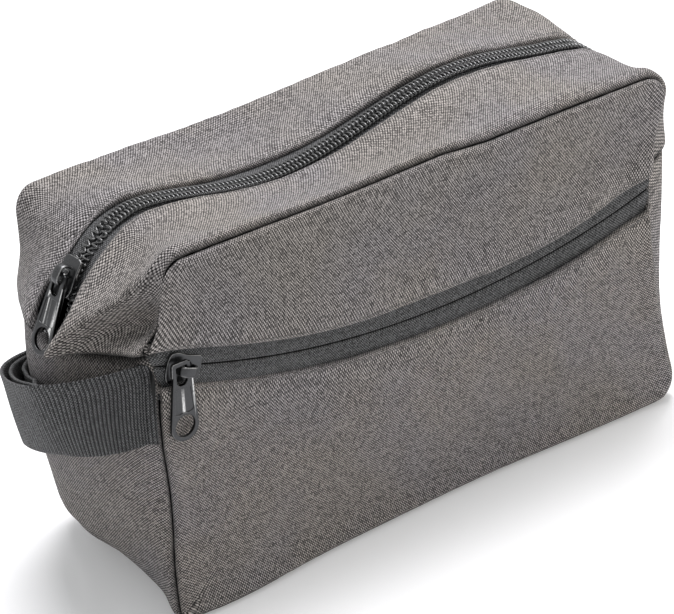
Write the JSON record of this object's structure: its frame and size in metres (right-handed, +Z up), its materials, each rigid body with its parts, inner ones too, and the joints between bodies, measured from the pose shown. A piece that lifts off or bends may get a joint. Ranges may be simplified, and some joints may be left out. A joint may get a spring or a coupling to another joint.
{
  "type": "cosmetic bag",
  "caption": "Soft rectangular zipped cosmetic bag in grey cloth with a curved front zip pocket and a webbing loop handle on one end.",
  "frame": {"origin": "middle of the flat base, on the surface that the bag stands on", "axes": "+X along the bag, away from the handle; the front with the pocket faces -Y; +Z up"},
  "size_m": [0.2979, 0.1088, 0.1621],
  "materials": {
    "grey_cloth": "plain-weave melange polyester, matt",
    "lining": "smooth woven lining",
    "binding": "ribbed binding tape",
    "webbing": "ribbed webbing, matt",
    "zip_tape": "woven zip tape",
    "zip_coil": "glossy nylon coil",
    "slider_metal": "black-nickel plated die casting"
  },
  "bodies": {
    "bag": {"front_upper_panel": "grey_cloth", "front_lower_panel": "grey_cloth", "back_panel": "grey_cloth", "lower_gusset": "grey_cloth", "top_left_end_front": "grey_cloth", "top_left_end_front_lining": "lining", "top_right_end_front": "grey_cloth", "top_right_end_front_lining": "lining", "top_left_end_back": "grey_cloth", "top_left_end_back_lining": "lining", "top_right_end_back": "grey_cloth", "top_right_end_back_lining": "lining", "gusset_lining": "lining", "pocket_back": "lining", "front_lining": "lining", "back_lining": "lining", "seam_binding_front": "binding", "seam_binding_back": "binding", "pocket_zip_tape_upper": "zip_tape", "pocket_zip_coil_upper": "zip_coil", "pocket_zip_tape_lower": "zip_tape", "pocket_zip_coil_lower": "zip_coil", "handle_strap": "webbing"},
    "mouth_front": {"mouth_flap_front": "grey_cloth", "mouth_flap_front_lining": "lining", "main_zip_tape_front": "zip_tape", "main_zip_coil_front": "zip_coil"},
    "mouth_back": {"mouth_flap_back": "grey_cloth", "mouth_flap_back_lining": "lining", "main_zip_tape_back": "zip_tape", "main_zip_coil_back": "zip_coil"},
    "main_slider": {"main_slider_body": "slider_metal", "main_slider_bail": "slider_metal", "main_slider_lock_spring": "slider_metal"},
    "main_pull": {"main_pull_tab": "slider_metal"},
    "pocket_slider": {"pocket_slider_body": "slider_metal", "pocket_slider_bail": "slider_metal", "pocket_slider_lock_spring": "slider_metal"},
    "pocket_pull": {"pocket_pull_tab": "slider_metal"}
  },
  "joints": [
    {"name": "main_slider_travel", "type": "hinge", "parent": "bag", "child": "main_slider", "pos_m": [0.00001, 0, -0.06789], "axis": [0, 1, 0], "range_deg": [0, 58], "deforming": ["main_zip_tape_front", "main_zip_coil_front", "main_zip_tape_back", "main_zip_coil_back"]},
    {"name": "mouth_front_hinge", "type": "hinge", "parent": "bag", "child": "mouth_front", "pos_m": [0, -0.049, 0.15179], "axis": [0.9999, 0, 0.016], "range_deg": [0, 60]},
    {"name": "mouth_back_hinge", "type": "hinge", "parent": "bag", "child": "mouth_back", "pos_m": [0, 0.049, 0.15357], "axis": [-0.9995, 0, -0.0319], "range_deg": [0, 60]},
    {"name": "main_pull_turn", "type": "hinge", "parent": "main_slider", "child": "main_pull", "pos_m": [-0.143, 0, 0.13743], "axis": [0, 1, 0], "range_deg": [0, 150]},
    {"name": "pocket_slider_travel", "type": "hinge", "parent": "bag", "child": "pocket_slider", "pos_m": [0.008, -0.049, 0.507], "axis": [0, -1, 0], "range_deg": [0, 30.5], "deforming": ["pocket_zip_tape_upper", "pocket_zip_coil_upper", "pocket_zip_tape_lower", "pocket_zip_coil_lower"]},
    {"name": "pocket_pull_swing", "type": "hinge", "parent": "pocket_slider", "child": "pocket_pull", "pos_m": [-0.12561, -0.0517, 0.1088], "axis": [0, -1, 0], "range_deg": [-90, 10]}
  ],
  "couplings": [
    {"joint": "mouth_front_hinge", "follows": "main_slider_travel", "ratio": 1.03},
    {"joint": "mouth_back_hinge", "follows": "main_slider_travel", "ratio": 1.03}
  ]
}
